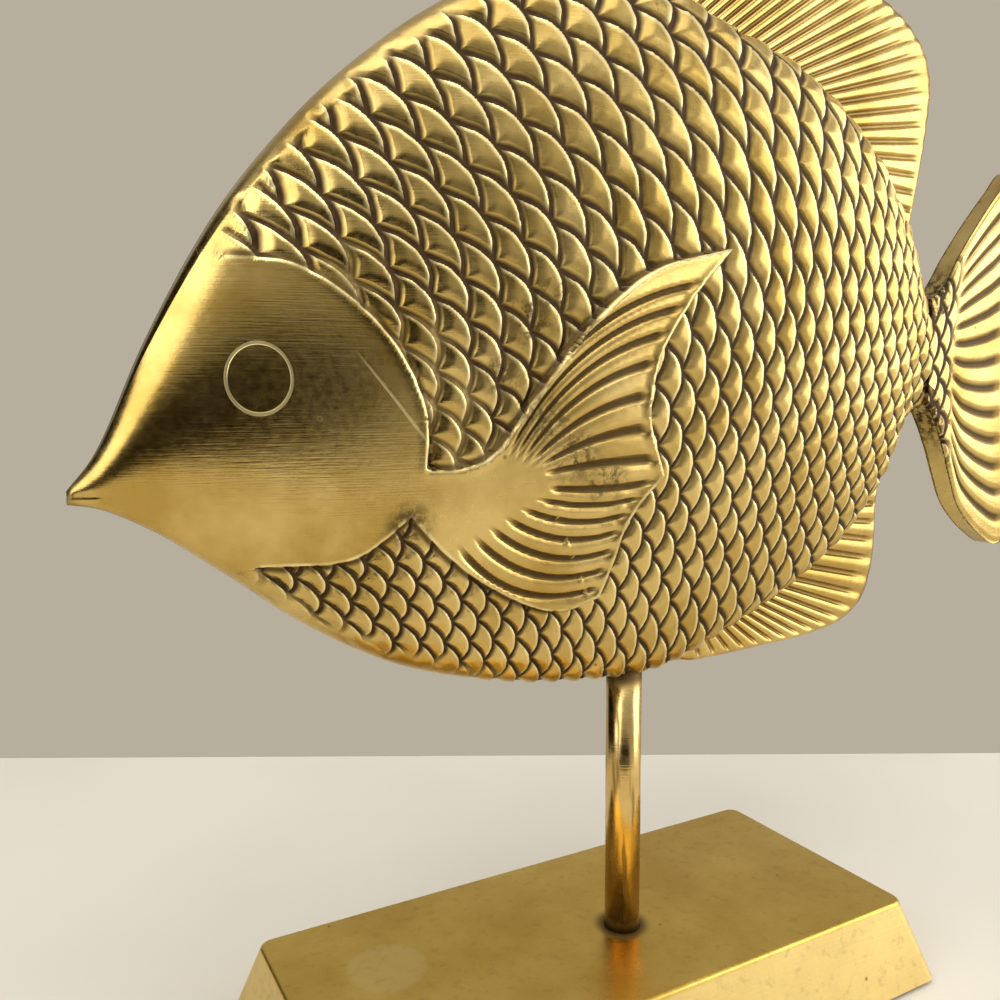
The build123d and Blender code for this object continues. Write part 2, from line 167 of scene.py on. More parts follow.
# Roots of the fins, and shares of the free edge with the share of the root that its rays start from
dorsal_root_shares = [
    (0.440, 0.900), (0.560, 0.940), (0.684, 0.915), (0.777, 0.880), (0.846, 0.830), (0.890, 0.780),
    (0.925, 0.710), (0.940, 0.660),
]
anal_root_shares = [
    (0.590, 0.060), (0.684, 0.095), (0.777, 0.155), (0.846, 0.210), (0.890, 0.270), (0.915, 0.325),
]
dorsal_lean = [
    (0.00, 0.00), (0.25, 0.13), (0.40, 0.26), (0.50, 0.35), (0.64, 0.48), (0.75, 0.59), (0.83, 0.71),
    (0.89, 0.80), (0.94, 0.89), (1.00, 1.00),
]
anal_lean = [
    (0.00, 0.00), (0.28, 0.17), (0.54, 0.33), (0.64, 0.41), (0.70, 0.50), (0.79, 0.68), (1.00, 1.00),
]
dorsal_span = (0.06, 0.96)
anal_span = (0.12, 0.95)
dorsal_rays = 37
anal_rays = 20
tail_rays = 15
tail_top_shares = [
    (0.000, 0.130), (0.070, 0.141), (0.157, 0.171), (0.278, 0.235), (0.478, 0.328), (0.705, 0.420),
    (0.870, 0.478), (0.975, 0.475),
]
tail_rear_shares = [
    (0.975, 0.475), (0.985, 0.400), (0.930, 0.280), (0.885, 0.150), (0.868, -0.004), (0.885, -0.160),
    (0.930, -0.300), (0.985, -0.425), (0.965, -0.495),
]
tail_low_shares = [
    (0.000, -0.130), (0.059, -0.149), (0.147, -0.199), (0.225, -0.259), (0.294, -0.319), (0.382, -0.386),
    (0.509, -0.435), (0.627, -0.468), (0.850, -0.505), (0.965, -0.495),
]

# Places of single scales on the flank, counted along the fish and across it, two counts to a scale,
# with their distance from the middle of the base and their height over the table in millimetres
scale_places = np.array([
    (7, -1, -52.6, 247.2), (14, 0, -16.7, 260.7), (-3, 1, -74.9, 209.2), (19, 1, 17.7, 265.2),
    (7, 3, -28.1, 219.2), (25, 3, 60.7, 250.5), (15, 5, 16.4, 221.9), (22, 6, 52.4, 216.9),
    (30, 6, 84.9, 216.3), (-3, 7, -46.5, 168.7), (8, 8, -2.3, 178.6), (16, 8, 30.2, 190.4),
    (41, 9, 120.9, 196.5), (24, 10, 62.1, 178.2), (13, 11, 20.0, 160.9), (33, 11, 93.9, 176.1),
    (-1, 13, -29.1, 134.8), (-16, 14, -75.5, 128.5), (10, 14, 9.2, 136.4), (20, 14, 45.7, 144.9),
    (33, 17, 95.2, 138.7), (-10, 18, -49.7, 106.8), (26, 18, 69.7, 122.8), (-1, 19, -21.1, 98.5),
    (9, 19, 10.4, 99.4), (19, 19, 45.3, 106.7),
])
# Their rule is a polynomial in hundreds of millimetres from the middle of the body
scale_order = 4
scale_reach = 100
scale_middle = 180
# How far below the back and above the belly the scales fade out, by how much that line wanders, and
# how far the wandering turns with each count of scales along and across
forehead_fade = (2.6 * mm, 6.5 * mm)
throat_fade = (1.5 * mm, 5.0 * mm)
fade_wander = 1.6 * mm
wander_paces = (2.3, 1.7)
# Width of the grooves between scales, in counts, and where along the body it grows
wide_groove = 0.66
narrow_groove = 0.76
narrow_scales_share = (0.45, 0.85)
# Where along the body the scales start, and where forehead and throat are scaled up to their rims
scale_start_share = (0.11, 0.14)
forehead_end_share = (0.42, 0.52)
throat_end_share = (0.30, 0.40)

# The pale rubbed patch on the base's top
rubbed_patch = (-58 * mm, 13 * mm, base_top)
rubbed_radius = 10 * mm

# Patches in body shares, with their radius: scales cut faintly, and brown pitted patina
faint_scales = [
    (0.272, 0.480, 0.040), (0.300, 0.413, 0.040), (0.297, 0.353, 0.036), (0.330, 0.335, 0.030),
    (0.215, 0.560, 0.036),
]
faint_share = 0.24
patina_patches = [
    (0.384, 0.388, 0.040), (0.417, 0.342, 0.036), (0.451, 0.308, 0.032), (0.373, 0.511, 0.034),
    (0.345, 0.440, 0.028), (0.400, 0.545, 0.030), (0.262, 0.262, 0.028),
]


def steps_of(low, high, value):
    """A smooth step from 0 at low to 1 at high."""
    share = np.clip((value - low) / (high - low), 0, 1)
    return share * share * (3 - 2 * share)


def curve_value(stations, values, places):
    """Values on a smooth curve through the given stations."""
    slopes = np.gradient(values, stations)
    index = np.clip(np.searchsorted(stations, places, side="right") - 1, 0, len(stations) - 2)
    gap = np.diff(stations)[index]
    share = (places - stations[index]) / gap
    rise = values[index + 1] - values[index]
    start = slopes[index] * gap
    end = slopes[index + 1] * gap
    bend = start + end - 2 * rise
    return values[index] + share * (start + share * (3 * rise - 2 * start - end + share * bend))


def curve_points(points, shares):
    """Points at shares of the length of a smooth curve through the given points."""
    points = np.array(points, float)
    gaps = np.hypot(*np.diff(points, axis=0).T)
    stations = np.concatenate([[0], np.cumsum(gaps)])
    places = np.asarray(shares, float) * stations[-1]
    return np.stack([curve_value(stations, points[:, axis], places) for axis in (0, 1)], axis=-1)


def on_body(shares):
    """Shares of the body's length and depth as places on the middle plane."""
    return np.array(shares, float) * (body_length, body_depth) + (nose_x, belly_level)


def outline(shares, count=40):
    """A smooth path through points given as body shares."""
    return curve_points(on_body(shares), np.linspace(0, 1, count))


def signed_distance(path, x, z):
    """Distance from each place to the nearest point of an open path, positive below the path."""
    nearest = np.full(x.shape, np.inf)
    sign = np.ones(x.shape)
    for (ax, az), (bx, bz) in zip(path[:-1], path[1:]):
        run = max((bx - ax) ** 2 + (bz - az) ** 2, merge_distance ** 2)
        share = np.clip(((x - ax) * (bx - ax) + (z - az) * (bz - az)) / run, 0, 1)
        away = np.hypot(x - ax - share * (bx - ax), z - az - share * (bz - az))
        turn = (bx - ax) * (z - az) - (bz - az) * (x - ax)
        sign = np.where(away < nearest, np.where(turn < 0, 1, -1), sign)
        nearest = np.minimum(nearest, away)
    return nearest * sign


def distance_to(path, x, z):
    return np.abs(signed_distance(path, x, z))


def is_inside(path, x, z):
    """Whether each place lies inside a closed path."""
    crossings = np.zeros(x.shape, bool)
    for (ax, az), (bx, bz) in zip(path, np.roll(path, -1, axis=0)):
        if az != bz:
            level = ax + (z - az) / (bz - az) * (bx - ax)
            crossings ^= ((az > z) != (bz > z)) & (x < level)
    return crossings


upper_trail = outline(upper_trail_shares)
lower_trail = outline(lower_trail_shares)
face_parts = [
    outline(gill_shares), outline(fin_top_shares), upper_trail, lower_trail, outline(fin_low_shares),
    outline(cheek_low_shares),
]
face_edge = np.concatenate(face_parts)
face_region = np.concatenate([face_edge, on_body(front_shares)])
trailing_edge = np.concatenate([upper_trail, lower_trail])
crease_line = outline(crease_shares)


def body_shape(x):
    """Height of the back and belly, half thickness and rise of the relief at each place along."""
    along = np.clip((x - nose_x) / body_length, 0, 1)
    back, belly, thick, rise = [
        curve_value(section_shares[:, 0], section_shares[:, column], along) for column in (1, 2, 3, 4)
    ]
    back = belly_level + back * body_depth
    belly = belly_level + belly * body_depth
    return back, belly, thick * half_thickness, np.clip(rise, 0, 1)


def rim_place(turn):
    """Out and up shares of the rounded rim, from the flank at 0 to the middle plane at 1."""
    stations = np.linspace(0, 1, len(rim_shares))
    out = curve_value(stations, rim_shares[:, 0], turn)
    up = curve_value(stations, rim_shares[:, 1], turn)
    return np.maximum(out, 0), up


def flank_reach(x, z):
    """Distance of the plain flank from the middle plane."""
    back, belly, reach, _ = body_shape(x)
    half = (back - belly) / 2
    up = np.clip(np.abs(z - (back + belly) / 2) / half, 0, 1)
    out_at, up_at = rim_shares[0]
    arc_middle = (reach ** 2 - (out_at * reach) ** 2 - (up_at * half) ** 2) / (2 * reach * (1 - out_at))
    arc_radius = reach - arc_middle
    arc = arc_middle + np.sqrt(np.maximum(arc_radius ** 2 - (up * half) ** 2, 0))
    turns = np.linspace(0, 1, 60)
    rim_out, rim_up = rim_place(turns)
    rim = np.interp(up, rim_up, rim_out) * reach
    return np.where(up <= up_at, arc, rim)


def scale_terms(x, z):
    """The terms of the rule that counts the scales."""
    along = (x / mm) / scale_reach
    up = (z / mm - scale_middle) / scale_reach
    powers = [(i, j) for i in range(scale_order + 1) for j in range(scale_order + 1 - i)]
    return np.stack([along ** i * up ** j for i, j in powers], axis=-1)


scale_rule = np.linalg.lstsq(
    scale_terms(scale_places[:, 2] * mm, scale_places[:, 3] * mm), scale_places[:, :2], rcond=None
)[0]


def scale_counts(x, z):
    """Count of scales along and across the flank, two counts to a scale."""
    counts = scale_terms(x, z) @ scale_rule
    return counts[..., 0], counts[..., 1]


def past_free_edge(along, across):
    """How far each place lies past the last free edge of a scale and ahead of the next, in counts."""
    past = np.full(along.shape, 2.0)
    ahead = np.full(along.shape, 2.0)
    for side in (0, 1):
        row = np.floor(across) + side
        bow = 1 - (across - row) ** 2
        turn = ((along - bow - np.mod(row, 2)) / 2) % 1
        past = np.minimum(past, 2 * turn)
        ahead = np.minimum(ahead, 2 - 2 * turn)
    return past, ahead


def groove_span(x):
    """Width of the grooves between the scales, in counts: wider where the scales are narrow."""
    along = (x - nose_x) / body_length
    narrow = steps_of(*narrow_scales_share, along)
    return wide_groove + (narrow_groove - wide_groove) * narrow


def scale_height(x, z):
    """Relief of the scales, softened over twice scale_softness."""
    height = np.zeros(x.shape)
    soft = scale_softness
    spots = [(0, 0), (soft, soft), (soft, -soft), (-soft, soft), (-soft, -soft)]
    for off_x, off_z in spots:
        past, ahead = past_free_edge(*scale_counts(x + off_x, z + off_z))
        span = groove_span(x)
        groove = 1 - steps_of(0.1 * span, 1.7 * span, past)
        height += scale_tilt * (1 - ahead / 2) - groove_depth * groove
    return height / len(spots)


def patches(places, x, z):
    """Soft round patches, 1 at their middles, at places with their radius, all in body shares."""
    total = np.zeros(x.shape)
    for along, up, radius in places:
        patch_x, patch_z = on_body([(along, up)])[0]
        away = np.hypot(x - patch_x, z - patch_z) / (radius * body_length)
        total = np.maximum(total, 1 - steps_of(0.3, 1.0, away))
    return total


def scale_presence(x, z):
    """Where the flank is scaled: fading into a smooth forehead and throat, faint behind the gill."""
    back, belly, _, _ = body_shape(x)
    along = (x - nose_x) / body_length
    along_count, across_count = scale_counts(x, z)
    wander = fade_wander * np.sin(wander_paces[0] * along_count) * np.sin(wander_paces[1] * across_count)
    forehead = steps_of(*forehead_fade, back - z + wander)
    forehead = forehead + (1 - forehead) * steps_of(*forehead_end_share, along)
    throat = steps_of(*throat_fade, z - belly + wander)
    throat = throat + (1 - throat) * steps_of(*throat_end_share, along)
    start = steps_of(*scale_start_share, along)
    return forehead * throat * start * (1 - faint_share * patches(faint_scales, x, z))


def pectoral_lines():
    """The rays of the pectoral fin, each a bowed line from before its root to past its tip."""
    lines = []
    lobes = [
        (upper_rays, upper_root_shares, upper_bow_shares, upper_trail_shares, upper_edge_shares),
        (lower_rays, lower_root_shares, lower_bow_shares, lower_trail_shares, lower_edge_shares),
    ]
    for count, root_shares, bows, trail_shares, edges in lobes:
        first, last = on_body(root_shares)
        for share in np.linspace(0, 1, count):
            root = first + (last - first) * share
            tip = curve_points(on_body(trail_shares), [edges[0] + (edges[1] - edges[0]) * share])[0]
            run = tip - root
            side = np.array((-run[1], run[0])) / np.hypot(*run)
            bow = (bows[0] + (bows[1] - bows[0]) * share) * body_length
            steps = np.linspace(*ray_span_share, ray_points)[:, None]
            lines.append(root + run * steps + side * bow * 4 * steps * (1 - steps))
    return lines


def ray_counts(x, z):
    """Count of rays across the pectoral fin, and the share of the way from root to trailing edge."""
    lines = pectoral_lines()
    below = [signed_distance(line, x, z) for line in lines]
    count = np.full(x.shape, -1.0)
    for ray, (upper, lower) in enumerate(zip(below, below[1:])):
        between = (upper >= 0) & (lower < 0)
        count = np.where(between, ray + upper / np.maximum(upper - lower, merge_distance), count)
    margin = ray_side_margin
    count = np.where((below[0] < 0) & (below[0] > -margin), below[0] / margin, count)
    count = np.where(below[-1] >= 0, len(lines) - 1 + np.minimum(below[-1] / margin, 1), count)
    roots = np.array([line[root_point] for line in lines])
    from_root = np.maximum(-signed_distance(roots, x, z), 0)
    to_trail = distance_to(trailing_edge, x, z)
    return count, from_root / (from_root + to_trail), to_trail


def ray_presence(count, along, to_trail):
    """Where the grooves between the pectoral rays show: from the root to short of the free edge."""
    shown = steps_of(*ray_fade_share, along) * steps_of(0.1 * ray_margin, 1.5 * ray_margin, to_trail)
    return shown * (count > -0.5) * (count < upper_rays + lower_rays - 0.5)


def ray_groove(count):
    """Depth of the grooves that lie at the whole counts of the rays, as a share."""
    return 1 - steps_of(*ray_groove_span, np.abs(count - np.round(count)))


def grid_mesh(name, columns, rows):
    """A sheet of columns by rows cells, and its places across and up as shares."""
    sheet = bmesh.new()
    bmesh.ops.create_grid(sheet, x_segments=columns, y_segments=rows, size=0.5)
    mesh = bpy.data.meshes.new(name)
    sheet.to_mesh(mesh)
    sheet.free()
    places = np.empty(len(mesh.vertices) * 3)
    mesh.vertices.foreach_get("co", places)
    places = places.reshape(-1, 3) + 0.5
    return mesh, places[:, 0], places[:, 1]


def finish_mesh(mesh, x, y, z, values):
    """Moves the sheet's vertices to their places, closes it and turns its faces outwards."""
    mesh.vertices.foreach_set("co", np.stack([x, y, z], axis=-1).ravel())
    for name, value in values.items():
        layer = mesh.attributes.new(name, "FLOAT_VECTOR", "POINT")
        layer.data.foreach_set("vector", value.ravel())
    solid = bmesh.new()
    solid.from_mesh(mesh)
    bmesh.ops.remove_doubles(solid, verts=solid.verts, dist=merge_distance)
    bmesh.ops.dissolve_degenerate(solid, edges=solid.edges, dist=merge_distance)
    open_edges = [edge for edge in solid.edges if edge.is_boundary]
    bmesh.ops.holes_fill(solid, edges=open_edges, sides=0)
    bmesh.ops.recalc_face_normals(solid, faces=solid.faces)
    if solid.calc_volume(signed=True) < 0:
        bmesh.ops.reverse_faces(solid, faces=solid.faces)
    # Caps have many corners and stay flat
    for face in solid.faces:
        face.smooth = len(face.verts) < 5
    solid.to_mesh(mesh)
    solid.free()


def new_piece(mesh, material, replaced):
    """Puts a finished mesh in place of a CAD node."""
    piece = bpy.data.objects.new(mesh.name, mesh)
    bpy.context.scene.collection.objects.link(piece)
    mesh.materials.append(material)
    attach(piece, "root")
    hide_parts(replaced)


skin_columns = 434
skin_rows = 224
rim_rows = 12
head_share = 0.105
head_columns_share = 0.065
step_rows_share = 0.85


def skin_place(across, up):
    """Places along and up the flank for the sheet's shares, closer together over the scales."""
    # The first and the last column fold in to the middle plane
    column = across * skin_columns
    share = np.clip((column - 1) / (skin_columns - 2), 0, 1)
    along = np.interp(share, [0, head_columns_share, 1], [0, head_share, 1])
    x = nose_x + along * body_length
    back, belly, _, _ = body_shape(x)
    middle = (back + belly) / 2
    half = (back - belly) / 2
    turn = 2 * up - 1
    flank_end = 1 - 2 * rim_rows / skin_rows
    _, rim_up = rim_place(np.clip((np.abs(turn) - flank_end) / (1 - flank_end), 0, 1))
    on_flank = np.abs(turn) <= flank_end
    rise = np.where(on_flank, rim_shares[0, 1] * np.abs(turn) / flank_end, rim_up)
    return x, middle + np.sign(turn) * half * rise


def face_distance(x, z):
    """Distance to the outline of cheek and fin, positive on them and negative on the flank."""
    edge = distance_to(face_edge, x, z)
    return np.where(is_inside(face_region, x, z), edge, -edge)


def set_on_step(x, z, is_flank):
    """Moves vertices near the outline onto it or onto the foot of its step, so that it runs clean."""
    inside = face_distance(x, z)
    slope_x = (distance_to(face_edge, x + nudge, z) - np.abs(inside)) / nudge
    slope_z = (distance_to(face_edge, x, z + nudge) - np.abs(inside)) / nudge
    moved = (inside < 0.5 * step_width) & (inside > -1.5 * step_width) & is_flank
    target = np.where(inside < -0.5 * step_width, step_width, 0)
    shift = np.where(moved, np.abs(inside) - target, 0)
    return x - slope_x * shift, z - slope_z * shift


def skin_relief(x, z):
    """Height of everything that stands on or is cut into the plain flank, and what it is made of."""
    _, _, _, rise = body_shape(x)
    inside = face_distance(x, z)
    count, along, to_trail = ray_counts(x, z)
    raised = flank_rise * rise * np.clip(1 + inside / step_width, 0, 1)
    shown = ray_presence(count, along, to_trail) * (inside > 0)
    shown = shown * (x > nose_x + ray_start_share * body_length)
    lip = lip_height * (1 - steps_of(0.0, lip_width, inside)) * (inside > -tiny) * rise
    scaled = scale_presence(x, z)
    outside = steps_of(0.2 * step_width, step_width, -inside)
    mouth_z = belly_level + mouth_level_share * body_depth
    slit = 1 - steps_of(0.2 * mouth_gap, mouth_gap, np.abs(z - mouth_z))
    slit = slit * (1 - steps_of(0.8 * mouth_length, mouth_length, x - nose_x))
    relief = raised + lip - ray_groove_depth * shown * ray_groove(count)
    relief = relief + scaled * outside * scale_height(x, z) - mouth_depth * slit
    return relief, inside, scaled, count, shown


def body_skin(name, side, material):
    """One half casting of the body, with its relief, closed along the middle plane."""
    mesh, across, up = grid_mesh(name, skin_columns, skin_rows)
    x, z = skin_place(across, up)
    x, z = set_on_step(x, z, np.abs(2 * up - 1) < step_rows_share)
    relief, inside, scaled, count, shown = skin_relief(x, z)
    reach = flank_reach(x, z)
    step = 2 * nudge
    lean_x = (flank_reach(x + step, z) - flank_reach(x - step, z)) / (2 * step)
    lean_z = (flank_reach(x, z + step) - flank_reach(x, z - step)) / (2 * step)
    lean_x = np.clip(lean_x, -steepest, steepest)
    lean_z = np.clip(lean_z, -steepest, steepest)
    length = np.sqrt(1 + lean_x ** 2 + lean_z ** 2)
    near_seam = steps_of(0.0, seam_width, reach)
    lift = relief * near_seam / length
    column = across * skin_columns
    is_cap = (column < 0.5) | (column > skin_columns - 0.5)
    is_seam = (up < 0.5 / skin_rows) | (up > 1 - 0.5 / skin_rows)
    flat = is_cap | is_seam
    out = np.where(flat, 0, reach + lift)
    x = np.where(flat, x, x - lean_x * lift)
    z = np.where(flat, z, z - lean_z * lift)
    eye_x, eye_z = on_body([eye_place_shares])[0]
    ring = (np.hypot((x - eye_x) / eye_narrowing, z - eye_z) - eye_radius) / eye_line
    crease = signed_distance(crease_line, x, z) / crease_width
    crease_end = patches([(*crease_middle, crease_reach)], x, z)
    values = {
        "scale_grid": np.stack([*scale_counts(x, z), groove_span(x)], axis=-1),
        "ray_grid": np.stack([count, shown, patches(patina_patches, x, z)], axis=-1),
        "marks": np.stack([scaled, np.clip(inside / mm, -far_away, far_away), reach / mm], axis=-1),
        "fine_lines": np.stack([ring, crease, crease_end], axis=-1),
    }
    finish_mesh(mesh, x, side * out, z, values)
    new_piece(mesh, material, name.replace("skin", "shell"))


fin_columns = 560
fin_rows = 64
fin_root_share = 0.04
# Shares of the way from a fin's root to its free edge
fin_groove_end_share = (0.72, 0.93)
fin_dark_end_share = (0.74, 0.94)
# Where the painted shade at the root fades out
fin_root_shade_end_share = (0.08, 0.25)
fin_crown_start_share = (0.05, 0.3)
# At a fin's root, and what is taken off by its free edge: the width of its grooves in counts of rays,
# how dark they are, and its thickness
fin_groove_width = (0.32, 0.16)
fin_groove_dark = (0.68, 0.30)
fin_taper = (1, 0.28)
# How dark the painted shade is at a fin's root, where the body's edge stands over it
fin_root_shade = 0.6


def fin_piece(name, edge_shares, root_shares, lean, span, rays, material, replaced):
    """A rayed fin: a closed tube of cross-sections, each running from the root over the free edge."""
    mesh, across, turn = grid_mesh(name, fin_columns, fin_rows)
    edge = curve_points(on_body(edge_shares), across)
    root = curve_points(on_body(root_shares), np.interp(across, *np.array(lean).T))
    # 0 and 1 lie on the middle plane at the root, and 0.5 lies on the free edge
    up = 1 - np.abs(2 * turn - 1)
    side = np.sign(2 * turn - 1)
    up = np.clip((up - fin_root_share) / (1 - fin_root_share), 0, 1)
    count = (across - span[0]) / (span[1] - span[0]) * (rays - 1)
    off_line = np.abs(count - np.round(count))
    has_ray = (count > -0.5) & (count < rays - 0.5)
    width = fin_groove_width[0] - fin_groove_width[1] * up
    groove = (1 - steps_of(0.3 * width, width, off_line)) * (1 - steps_of(*fin_groove_end_share, up))
    groove = groove * has_ray
    # The free edge is rounded over fin_rim, and the metal swells a little between two grooves
    length = np.hypot(*(edge - root).T)
    rim = 1 - np.clip((1 - up) * length / fin_rim, 0, 1)
    taper = fin_taper[0] - fin_taper[1] * up
    half = fin_thickness / 2 * taper * np.sqrt(np.clip(1 - rim ** 2, 0, 1))
    crown = fin_ray_crown * np.cos(pi * np.clip(2 * off_line, 0, 1))
    crown = crown * steps_of(*fin_crown_start_share, up)
    half = np.maximum(half - groove * fin_ray_depth - crown * (1 - rim), 0)
    row = turn * fin_rows
    closed = (row < 0.5) | (row > fin_rows - 0.5) | (np.abs(row - fin_rows / 2) < 0.25)
    y = np.where(closed, 0, side * half)
    place = root + (edge - root) * up[:, None]
    shown = (1 - steps_of(*fin_dark_end_share, up)) * has_ray
    shown = shown * (fin_groove_dark[0] - fin_groove_dark[1] * up)
    far = np.full(up.shape, far_away)
    # Painted shade at the fin's root, under the body's scalloped edge
    patina_and_root_shade = fin_root_shade * (1 - steps_of(*fin_root_shade_end_share, up))
    counts = scale_counts(place[:, 0], place[:, 1])
    values = {
        "scale_grid": np.stack([*counts, 0 * up + wide_groove], axis=-1),
        "ray_grid": np.stack([count, shown, patina_and_root_shade], axis=-1),
        "marks": np.stack([0 * up, far, far], axis=-1),
        "fine_lines": np.stack([far, far, 0 * up], axis=-1),
    }
    finish_mesh(mesh, place[:, 0], y, place[:, 1], values)
    new_piece(mesh, material, replaced)


tail_columns = 150
tail_rows = 220
# Share of the way round the tail that one face takes: a whole number of rows, so that both faces meet
# point to point at the rear edge
tail_face_share = 99 / 220
# Shares of the way from the tail's root to its rear edge
tail_ray_start_share = (0.30, 0.45)
tail_groove_end_share = (0.90, 0.97)
tail_dark_end_share = (0.88, 0.96)
tail_scale_end_share = (0.22, 0.40)
tail_patina_and_shade_end_share = (0.10, 0.34)
tail_rim_share = 0.94
tail_thinning_share = 0.25
tail_groove_span = (0.08, 0.26)
# Patina with painted shade lies near the root by the leading edges, at more than tail_middle_share from
# the middle
tail_patina_and_shade = 1.2
tail_middle_share = 0.3


def tail_piece(name, material):
    """The forked tail: a thick plate with square leading edges, thinned at its rear edge."""
    mesh, along, turn = grid_mesh(name, tail_columns, tail_rows)
    corners_at = np.array([0, tail_face_share, 0.5, 0.5 + tail_face_share, 1.0])
    down = np.interp(turn, corners_at, [0, 1, 1, 0, 0])
    out = np.interp(turn, corners_at, [-1, -1, 1, 1, -1])
    back, belly, _, _ = body_shape(np.array([tail_x]))
    scale = np.array((tail_length, tail_height))
    origin = np.array((tail_x, (back[0] + belly[0]) / 2))

    def tail_curve(shares, places):
        return curve_points(np.array(shares) * scale + origin, places)

    top = tail_curve(tail_top_shares, along)
    low = tail_curve(tail_low_shares, along)
    rear = tail_curve(tail_rear_shares, down)
    root_top = np.array(tail_top_shares[0]) * scale + origin
    root_low = np.array(tail_low_shares[0]) * scale + origin
    root = root_top + (root_low - root_top) * down[:, None]
    u, v = along[:, None], down[:, None]
    rear_top, rear_low = tail_curve(tail_rear_shares, [0.0, 1.0])
    corners = (1 - u) * ((1 - v) * root_top + v * root_low) + u * ((1 - v) * rear_top + v * rear_low)
    place = (1 - v) * top + v * low + (1 - u) * root + u * rear - corners
    count = down * (tail_rays - 1)
    off_line = np.abs(count - np.round(count))
    has_ray = (count > 0.5) & (count < tail_rays - 1.5)
    groove = (1 - steps_of(*tail_groove_span, off_line)) * steps_of(*tail_ray_start_share, along)
    groove = groove * (1 - steps_of(*tail_groove_end_share, along)) * has_ray
    rim = steps_of(tail_rim_share, 1.0, along)
    half = tail_thickness / 2 * (1 - tail_thinning_share * along) * np.sqrt(1 - rim ** 2)
    is_rear = along * tail_columns > tail_columns - 0.5
    half = np.where(is_rear, 0, half - groove * tail_ray_depth)
    is_face = np.abs(out) > 0.99
    edge_gap = np.minimum(down, 1 - down) * np.hypot(*(top - low).T)
    half = half - tail_corner * (1 - np.clip(edge_gap / tail_corner, 0, 1)) ** 2 * is_face
    scaled = (1 - steps_of(*tail_scale_end_share, along)) * is_face
    shown = steps_of(*tail_ray_start_share, along) * (1 - steps_of(*tail_dark_end_share, along))
    shown = shown * is_face * has_ray
    far = np.full(along.shape, far_away)
    # Patina with painted shade near the root, by both leading edges
    patina_and_root_shade = tail_patina_and_shade * (1 - steps_of(*tail_patina_and_shade_end_share, along))
    patina_and_root_shade = patina_and_root_shade * (np.abs(down - 0.5) > tail_middle_share)
    counts = scale_counts(place[:, 0], place[:, 1])
    values = {
        "scale_grid": np.stack([*counts, groove_span(place[:, 0])], axis=-1),
        "ray_grid": np.stack([count, shown, patina_and_root_shade], axis=-1),
        "marks": np.stack([scaled, -far, far], axis=-1),
        "fine_lines": np.stack([far, far, 0 * along], axis=-1),
    }
    finish_mesh(mesh, place[:, 0], out * half, place[:, 1], values)
    new_piece(mesh, material, "tail_fin")


# Materials
def linear(code):
    """An sRGB colour written as six hex figures, in linear light."""
    parts = [int(code[place:place + 2], 16) / 255 for place in (1, 3, 5)]
    light = [part / 12.92 if part <= 0.04045 else ((part + 0.055) / 1.055) ** 2.4 for part in parts]
    return (*light, 1)


def add_node(tree, kind, links=(), **settings):
    """Adds a node, sets its settings, and fills or links its inputs."""
    new = tree.nodes.new("ShaderNode" + kind)
    for name, value in settings.items():
        setattr(new, name, value)
    for socket, source in dict(links).items():
        if isinstance(source, bpy.types.NodeSocket):
            tree.links.new(source, new.inputs[socket])
        else:
            new.inputs[socket].default_value = source
    return new


def new_material(name):
    material = bpy.data.materials.new(name)
    material.use_nodes = True
    tree = material.node_tree
    tree.nodes.clear()
    surface = add_node(tree, "BsdfPrincipled")
    add_node(tree, "OutputMaterial", {0: surface.outputs[0]})
    return material, tree, surface


# Sizes of the patterns. The wheel's scratches and the felt's nap are finer on real metal and felt, and
# are drawn this coarse to show
cloud_size = 25 * mm
pit_size = 1.54 * mm
scratch_width = mm / 3
scratch_length = 11.1 * mm
speck_spacing = 8 * mm
bump_depth = 0.6 * mm
waver_size = 4.17 * mm
patina_spot = 2.38 * mm
stain_width = 2.22 * mm
stain_length = 20 * mm
mottle_size = 3.33 * mm
tarnish_size = 4.55 * mm
nap_size = 0.556 * mm
nap_depth = 0.2 * mm
table_cloud_size = 111 * mm
# Roughness of rubbed edges and painted highlights and of soil and painted shade, how metallic soil and
# painted shade are, and the fine marks' share of the bump
worn_roughness = 0.5
soil_roughness = 0.62
soil_metal = 0.75
fine_bump = 0.04


